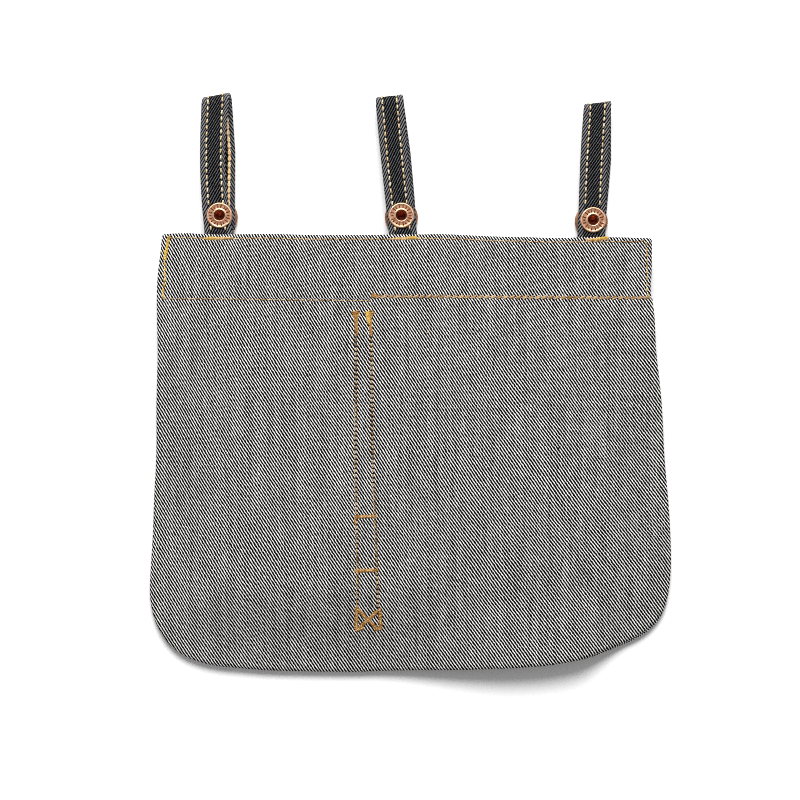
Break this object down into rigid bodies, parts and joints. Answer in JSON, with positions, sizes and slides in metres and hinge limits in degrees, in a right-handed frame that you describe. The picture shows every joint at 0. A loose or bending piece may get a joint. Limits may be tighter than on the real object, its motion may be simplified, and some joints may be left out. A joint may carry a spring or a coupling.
{
  "type": "denim tool pouch with belt loops",
  "caption": "Flat raw denim tool pouch with front pockets, topstitched waistband and snap-closed belt loops along its top edge.",
  "frame": {"origin": "on the table, under the middle of the whole part's bounding box", "axes": "+X across the pouch, to the right when the wearer's side is seen with the belt loops up; +Y up the pouch, towards the belt loops; +Z out of the wearer's side, off the table that the front lies on"},
  "size_m": [0.2292, 0.255, 0.0121],
  "materials": {
    "denim_reverse": "reverse face of raw denim twill, pale with dark diagonal lines",
    "denim_face": "dark blue-black face of raw denim twill",
    "thread": "thick gold topstitching thread",
    "copper": "antique copper plating, satin, worn bright at the rims",
    "spring_wire": "bright round spring wire"
  },
  "bodies": {
    "pouch": {"back_panel": "denim_reverse", "front_panel": "denim_face", "waistband": "denim_face", "pocket_panel": "denim_face", "tool_strap": "denim_face", "tool_loop_strip": "denim_face", "box_tack": "thread", "divider_tack_left": "thread", "divider_tack_right": "thread", "cross_tack_upper": "thread", "cross_tack_lower": "thread", "left_loop_tack": "thread", "left_loop_tail": "denim_face", "middle_loop_tack": "thread", "middle_loop_tail": "denim_face", "right_loop_tack": "thread", "right_loop_tail": "denim_face"},
    "left_loop": {"left_back_leg": "denim_face", "left_fold": "denim_face", "left_snap_post": "copper", "left_snap_stud": "copper"},
    "left_flap": {"left_front_leg": "denim_face", "left_snap_socket": "copper", "left_snap_spring": "spring_wire", "left_snap_cap": "copper"},
    "middle_loop": {"middle_back_leg": "denim_face", "middle_fold": "denim_face", "middle_snap_post": "copper", "middle_snap_stud": "copper"},
    "middle_flap": {"middle_front_leg": "denim_face", "middle_snap_socket": "copper", "middle_snap_spring": "spring_wire", "middle_snap_cap": "copper"},
    "right_loop": {"right_back_leg": "denim_face", "right_fold": "denim_face", "right_snap_post": "copper", "right_snap_stud": "copper"},
    "right_flap": {"right_front_leg": "denim_face", "right_snap_socket": "copper", "right_snap_spring": "spring_wire", "right_snap_cap": "copper"}
  },
  "joints": [
    {"name": "left_loop_swing", "type": "hinge", "parent": "pouch", "child": "left_loop", "pos_m": [-0.0839, 0.0668, 0.0099], "axis": [0.9997, 0.0262, 0], "range_deg": [-45, 90]},
    {"name": "left_flap_open", "type": "hinge", "parent": "left_loop", "child": "left_flap", "pos_m": [-0.08537, 0.12305, 0.0065], "axis": [0.9997, 0.0262, 0], "range_deg": [0, 180], "deforming": ["left_fold"]},
    {"name": "middle_loop_swing", "type": "hinge", "parent": "pouch", "child": "middle_loop", "pos_m": [-0.0032, 0.0668, 0.0099], "axis": [0.9949, 0.1011, 0], "range_deg": [-45, 90]},
    {"name": "middle_flap_open", "type": "hinge", "parent": "middle_loop", "child": "middle_flap", "pos_m": [-0.00887, 0.12265, 0.0065], "axis": [0.9949, 0.1011, 0], "range_deg": [0, 180], "deforming": ["middle_fold"]},
    {"name": "right_loop_swing", "type": "hinge", "parent": "pouch", "child": "right_loop", "pos_m": [0.0804, 0.0668, 0.0099], "axis": [0.9989, -0.0471, 0], "range_deg": [-45, 90]},
    {"name": "right_flap_open", "type": "hinge", "parent": "right_loop", "child": "right_flap", "pos_m": [0.0829, 0.11974, 0.0065], "axis": [0.9989, -0.0471, 0], "range_deg": [0, 180], "deforming": ["right_fold"]}
  ]
}
